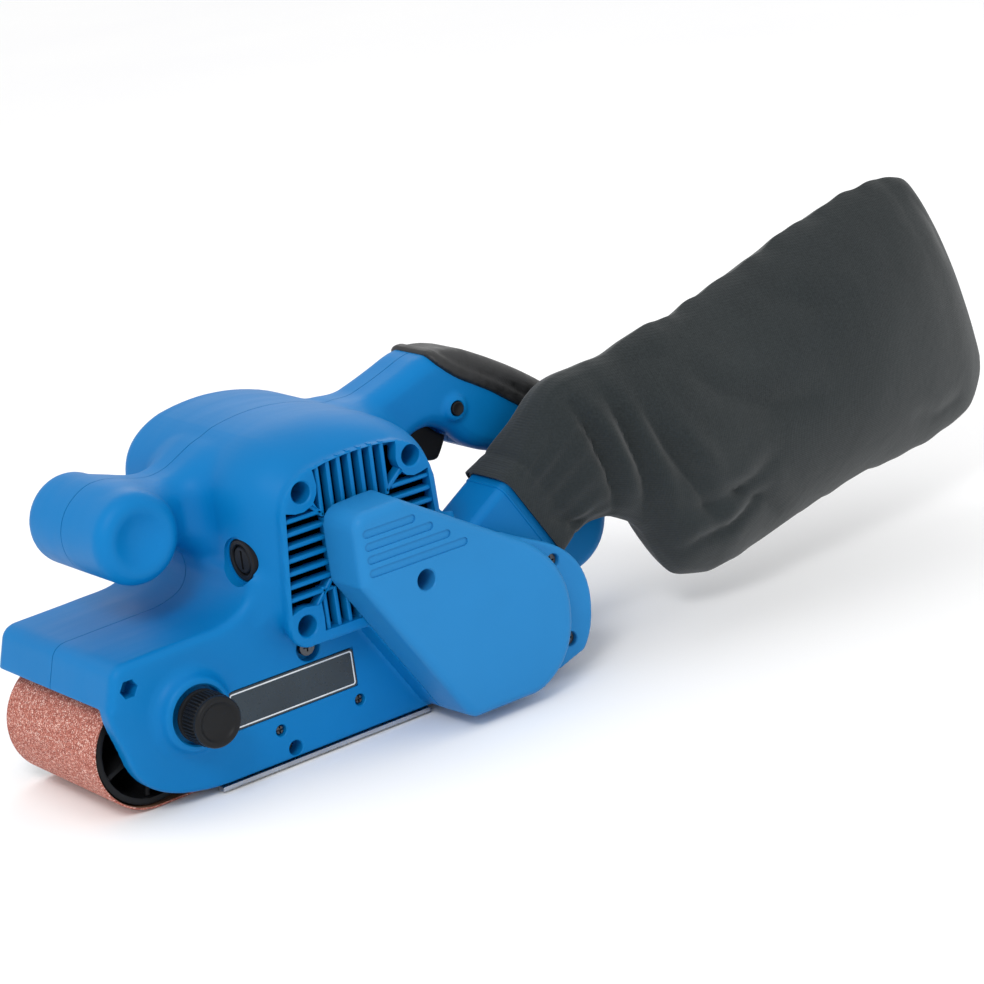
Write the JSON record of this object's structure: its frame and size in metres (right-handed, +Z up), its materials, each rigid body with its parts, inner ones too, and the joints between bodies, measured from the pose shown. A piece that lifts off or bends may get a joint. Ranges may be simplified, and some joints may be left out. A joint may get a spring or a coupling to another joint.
{
  "type": "belt sander",
  "caption": "Handheld electric belt sander with front and rear handles, side drive cover, tracking knob and rear dust bag.",
  "frame": {"origin": "centre of the flat lower run of the sanding belt, midway between the roller axes", "axes": "+X to the rear (dust bag), +Z up, -Y to the drive-cover side"},
  "size_m": [0.5185, 0.136, 0.1739],
  "materials": {
    "housing_blue": "satin moulded nylon",
    "cover_blue": "satin moulded nylon",
    "black_plastic": "satin black moulding",
    "grip_rubber": "soft black overmould",
    "label": "plain dark label with a pale border",
    "steel": "machined steel",
    "cast_aluminium": "die cast",
    "abrasive_cloth": "red-brown grit on cloth",
    "cork": "graphite-faced cork",
    "copper": "enamelled copper",
    "brass": "turned brass",
    "carbon": "pressed carbon",
    "bag_fabric": "charcoal woven polyester"
  },
  "bodies": {
    "body": {"left_housing": "housing_blue", "right_housing": "housing_blue", "dust_duct": "housing_blue", "drive_cover": "cover_blue", "handle_grip": "grip_rubber", "toothed_belt": "grip_rubber", "cord_gland": "grip_rubber", "label_plate": "label", "side_strip": "steel", "platen": "steel", "tension_spring": "steel", "lever_pin": "steel", "motor_bearing_left": "steel", "motor_bearing_right": "steel", "drive_bearing_left": "steel", "drive_bearing_right": "steel", "trigger_pin": "steel", "trigger_spring": "steel", "lock_button_spring": "steel", "clamp_screw": "steel", "motor_screw_upper_front": "steel", "motor_screw_upper_rear": "steel", "motor_screw_lower_front": "steel", "motor_screw_lower_rear": "steel", "drive_cover_screw_middle": "steel", "drive_cover_screw_upper": "steel", "drive_cover_screw_lower": "steel", "belt_frame_screw_front": "steel", "belt_frame_screw_rear": "steel", "stator_core": "cast_aluminium", "belt_frame": "cast_aluminium", "field_coil_upper": "copper", "field_coil_lower": "copper", "switch_module": "black_plastic", "brush_cap_front": "black_plastic", "brush_cap_rear": "black_plastic", "brush_front": "carbon", "brush_rear": "carbon", "brush_holder_front": "brass", "brush_holder_rear": "brass", "sanding_belt": "abrasive_cloth", "platen_pad": "cork"},
    "armature": {"armature_core": "cast_aluminium", "armature_shaft": "steel", "commutator": "copper", "cooling_fan": "black_plastic", "small_pulley": "steel"},
    "drive_roller": {"drive_roller": "grip_rubber", "drive_shaft": "steel", "large_pulley": "cast_aluminium"},
    "front_yoke": {"front_yoke": "steel", "front_axle": "steel"},
    "front_roller": {"front_roller": "black_plastic"},
    "release_lever": {"release_lever": "steel"},
    "tracking_knob": {"tracking_knob": "black_plastic", "tracking_screw": "steel"},
    "trigger": {"trigger": "black_plastic"},
    "lock_button": {"lock_button": "black_plastic"},
    "dust_bag": {"dust_bag": "bag_fabric", "bag_collar": "black_plastic"}
  },
  "joints": [
    {"name": "armature_spin", "type": "hinge", "parent": "body", "child": "armature", "pos_m": [0.0306, 0, 0.0925], "axis": [0, 1, 0], "continuous": true},
    {"name": "drive_roller_spin", "type": "hinge", "parent": "body", "child": "drive_roller", "pos_m": [0.0734, 0, 0.0265], "axis": [0, 1, 0], "continuous": true},
    {"name": "tension_slide", "type": "slide", "parent": "body", "child": "front_yoke", "axis": [1, 0, 0], "range_m": [0, 0.005], "deforming": ["tension_spring"]},
    {"name": "front_roller_spin", "type": "hinge", "parent": "front_yoke", "child": "front_roller", "pos_m": [-0.0734, 0, 0.0265], "axis": [0, 1, 0], "continuous": true},
    {"name": "lever_swing", "type": "hinge", "parent": "body", "child": "release_lever", "pos_m": [-0.023, 0.0265, 0.0265], "axis": [0, 0, 1], "range_deg": [0, 90]},
    {"name": "knob_turn", "type": "hinge", "parent": "body", "child": "tracking_knob", "pos_m": [-0.0575, -0.06, 0.04], "axis": [0, 1, 0], "range_deg": [-180, 180]},
    {"name": "trigger_pull", "type": "hinge", "parent": "body", "child": "trigger", "pos_m": [0.099, 0, 0.121], "axis": [0, -1, 0], "range_deg": [0, 7], "stiffness_Nm_per_rad": 0.2},
    {"name": "lock_button_press", "type": "slide", "parent": "body", "child": "lock_button", "axis": [0, 1, 0], "range_m": [0, 0.003], "stiffness_N_per_m": 60, "deforming": ["lock_button_spring"]},
    {"name": "bag_pull_off", "type": "slide", "parent": "body", "child": "dust_bag", "axis": [0.848, 0, 0.5299], "range_m": [0, 0.06]}
  ],
  "couplings": [
    {"joint": "drive_roller_spin", "follows": "armature_spin", "ratio": 0.33333},
    {"joint": "front_roller_spin", "follows": "armature_spin", "ratio": 0.33333},
    {"joint": "tension_slide", "follows": "lever_swing", "m_per_rad": 0.0031767}
  ]
}
